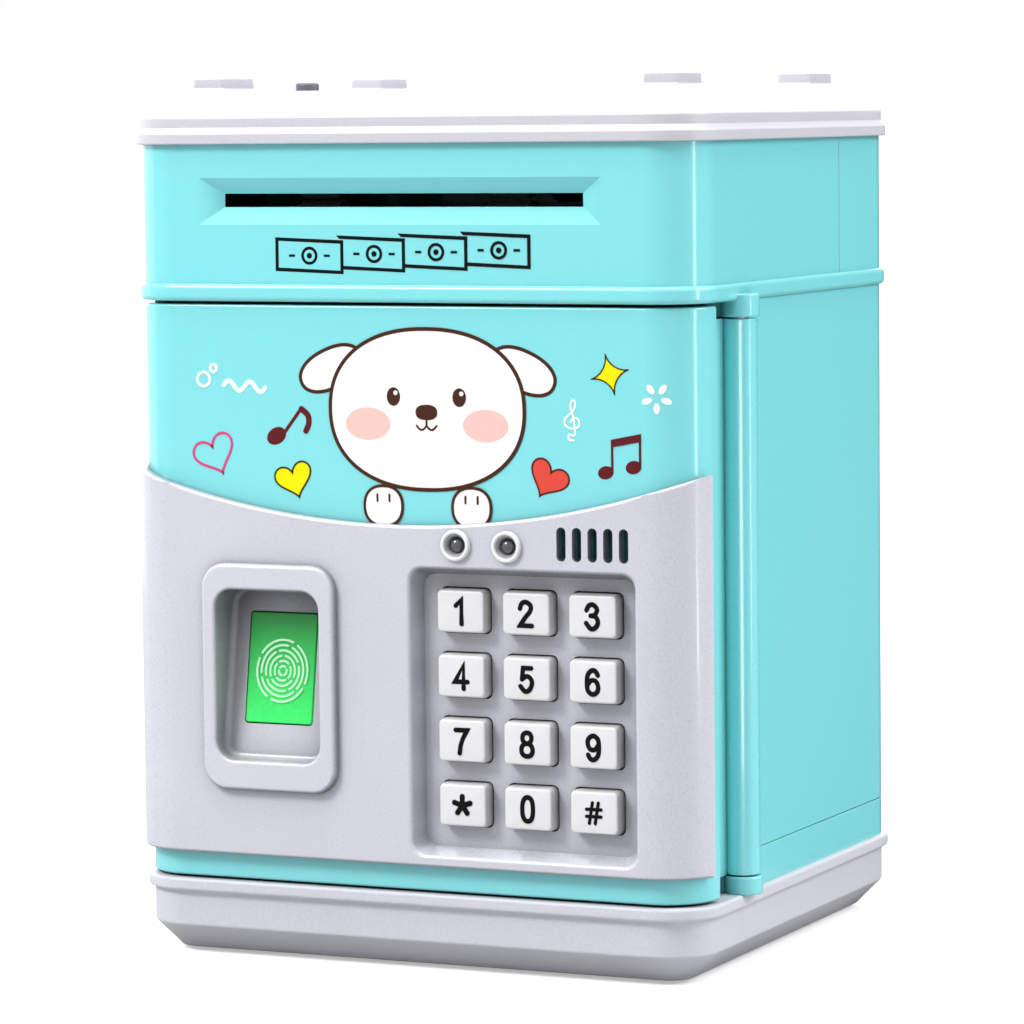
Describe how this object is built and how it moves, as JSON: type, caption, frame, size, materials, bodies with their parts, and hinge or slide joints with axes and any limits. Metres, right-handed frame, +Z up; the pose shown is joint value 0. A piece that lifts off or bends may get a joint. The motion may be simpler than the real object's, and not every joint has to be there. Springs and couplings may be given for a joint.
{
  "type": "toy savings bank",
  "caption": "Box-shaped electronic toy money bank with a hinged keypad door, fingerprint reader, note slot with feed rollers and a coin slot in the lid.",
  "frame": {"origin": "centre of the footprint on the resting plane, under the four feet", "axes": "+Z up, the door faces -Y, the door hinge is on the +X side"},
  "size_m": [0.1369, 0.1243, 0.1885],
  "materials": {
    "body_plastic": "glossy turquoise ABS",
    "base_plastic": "satin light grey ABS with a fine spark texture",
    "lid_plastic": "satin light grey ABS",
    "faceplate_plastic": "satin light grey ABS with a fine grain",
    "bezel_plastic": "semi-gloss pale grey",
    "key_plastic": "satin off-white with printed symbols",
    "inner_plastic": "plain moulded grey",
    "dark_plastic": "satin dark grey",
    "black_plastic": "matte black",
    "gear_plastic": "white acetal",
    "lamp_lens": "dark glossy dome",
    "green_window": "back-lit green window",
    "foot_rubber": "matte",
    "roller_rubber": "matte",
    "cable_jacket": "satin",
    "cell_jacket": "glossy sleeve",
    "fastener_steel": "zinc plated",
    "spring_steel": "nickel plated",
    "motor_can": "drawn can",
    "pinion_brass": "machined",
    "board_laminate": "solder mask"
  },
  "bodies": {
    "cabinet": {"base_tray": "base_plastic", "foot_front_left": "foot_rubber", "foot_front_right": "foot_rubber", "foot_rear_left": "foot_rubber", "foot_rear_right": "foot_rubber", "battery_cell_1": "cell_jacket", "battery_cell_2": "cell_jacket", "battery_cell_3": "cell_jacket", "battery_contact_front": "spring_steel", "battery_contact_rear": "spring_steel", "cash_floor": "inner_plastic", "sill_frame": "body_plastic", "body_shell": "body_plastic", "deck_plate": "body_plastic", "hinge_pin_top": "fastener_steel", "hinge_pin_bottom": "fastener_steel", "upper_housing_front": "body_plastic", "upper_housing_rear": "body_plastic", "lid": "lid_plastic", "coin_chute": "inner_plastic", "feeder_frame": "black_plastic", "feed_motor": "motor_can", "wire_harness": "cable_jacket"},
    "door": {"door_shell": "body_plastic", "faceplate": "faceplate_plastic", "key_membrane": "roller_rubber", "door_circuit_board": "board_laminate", "status_lamp_left": "lamp_lens", "status_lamp_right": "lamp_lens", "speaker": "black_plastic", "fingerprint_bezel": "bezel_plastic", "door_back_cover": "body_plastic", "door_cover_screw_upper": "fastener_steel", "door_cover_screw_lower": "fastener_steel", "lock_solenoid": "motor_can", "lock_spring": "spring_steel"},
    "key_1": {"key_1": "key_plastic"},
    "key_2": {"key_2": "key_plastic"},
    "key_3": {"key_3": "key_plastic"},
    "key_4": {"key_4": "key_plastic"},
    "key_5": {"key_5": "key_plastic"},
    "key_6": {"key_6": "key_plastic"},
    "key_7": {"key_7": "key_plastic"},
    "key_8": {"key_8": "key_plastic"},
    "key_9": {"key_9": "key_plastic"},
    "key_star": {"key_star": "key_plastic"},
    "key_0": {"key_0": "key_plastic"},
    "key_hash": {"key_hash": "key_plastic"},
    "fingerprint_pad": {"fingerprint_pad": "green_window"},
    "lock_bolt": {"lock_bolt": "fastener_steel"},
    "top_button": {"top_button": "dark_plastic"},
    "feed_roller": {"feed_shaft": "fastener_steel", "feed_roller_left": "roller_rubber", "feed_roller_right": "roller_rubber", "feed_gear": "gear_plastic"},
    "idler_roller": {"idler_roller": "roller_rubber"},
    "motor_pinion": {"motor_pinion": "pinion_brass"},
    "battery_cover": {"battery_cover": "base_plastic", "battery_cover_screw": "fastener_steel"}
  },
  "joints": [
    {"name": "door_hinge", "type": "hinge", "parent": "cabinet", "child": "door", "pos_m": [0.0656, -0.0342, 0.079], "axis": [0, 0, 1], "range_deg": [0, 110]},
    {"name": "battery_cover_slide", "type": "slide", "parent": "cabinet", "child": "battery_cover", "axis": [0, 0, -1], "range_m": [0, 0.012]},
    {"name": "bill_feed_spin", "type": "hinge", "parent": "cabinet", "child": "feed_roller", "pos_m": [0, -0.0484, 0.16775], "axis": [1, 0, 0], "continuous": true},
    {"name": "bill_idler_spin", "type": "hinge", "parent": "cabinet", "child": "idler_roller", "pos_m": [0, -0.0484, 0.15725], "axis": [1, 0, 0], "continuous": true},
    {"name": "bill_motor_spin", "type": "hinge", "parent": "cabinet", "child": "motor_pinion", "pos_m": [0, -0.03895, 0.16775], "axis": [1, 0, 0], "continuous": true},
    {"name": "bolt_slide", "type": "slide", "parent": "door", "child": "lock_bolt", "axis": [-1, 0, 0], "range_m": [0, 0.0045]},
    {"name": "button_top_press", "type": "slide", "parent": "cabinet", "child": "top_button", "axis": [0, 0, -1], "range_m": [0, 0.001], "stiffness_N_per_m": 300},
    {"name": "fingerprint_press", "type": "slide", "parent": "door", "child": "fingerprint_pad", "axis": [0, 0.9877, -0.1564], "range_m": [0, 0.0006], "stiffness_N_per_m": 400},
    {"name": "key_1_press", "type": "slide", "parent": "door", "child": "key_1", "axis": [0, 1, 0], "range_m": [0, 0.0012], "stiffness_N_per_m": 200},
    {"name": "key_2_press", "type": "slide", "parent": "door", "child": "key_2", "axis": [0, 1, 0], "range_m": [0, 0.0012], "stiffness_N_per_m": 200},
    {"name": "key_3_press", "type": "slide", "parent": "door", "child": "key_3", "axis": [0, 1, 0], "range_m": [0, 0.0012], "stiffness_N_per_m": 200},
    {"name": "key_4_press", "type": "slide", "parent": "door", "child": "key_4", "axis": [0, 1, 0], "range_m": [0, 0.0012], "stiffness_N_per_m": 200},
    {"name": "key_5_press", "type": "slide", "parent": "door", "child": "key_5", "axis": [0, 1, 0], "range_m": [0, 0.0012], "stiffness_N_per_m": 200},
    {"name": "key_6_press", "type": "slide", "parent": "door", "child": "key_6", "axis": [0, 1, 0], "range_m": [0, 0.0012], "stiffness_N_per_m": 200},
    {"name": "key_7_press", "type": "slide", "parent": "door", "child": "key_7", "axis": [0, 1, 0], "range_m": [0, 0.0012], "stiffness_N_per_m": 200},
    {"name": "key_8_press", "type": "slide", "parent": "door", "child": "key_8", "axis": [0, 1, 0], "range_m": [0, 0.0012], "stiffness_N_per_m": 200},
    {"name": "key_9_press", "type": "slide", "parent": "door", "child": "key_9", "axis": [0, 1, 0], "range_m": [0, 0.0012], "stiffness_N_per_m": 200},
    {"name": "key_star_press", "type": "slide", "parent": "door", "child": "key_star", "axis": [0, 1, 0], "range_m": [0, 0.0012], "stiffness_N_per_m": 200},
    {"name": "key_0_press", "type": "slide", "parent": "door", "child": "key_0", "axis": [0, 1, 0], "range_m": [0, 0.0012], "stiffness_N_per_m": 200},
    {"name": "key_hash_press", "type": "slide", "parent": "door", "child": "key_hash", "axis": [0, 1, 0], "range_m": [0, 0.0012], "stiffness_N_per_m": 200}
  ],
  "couplings": [
    {"joint": "bill_idler_spin", "follows": "bill_feed_spin", "ratio": -1},
    {"joint": "bill_motor_spin", "follows": "bill_feed_spin", "ratio": -2}
  ]
}
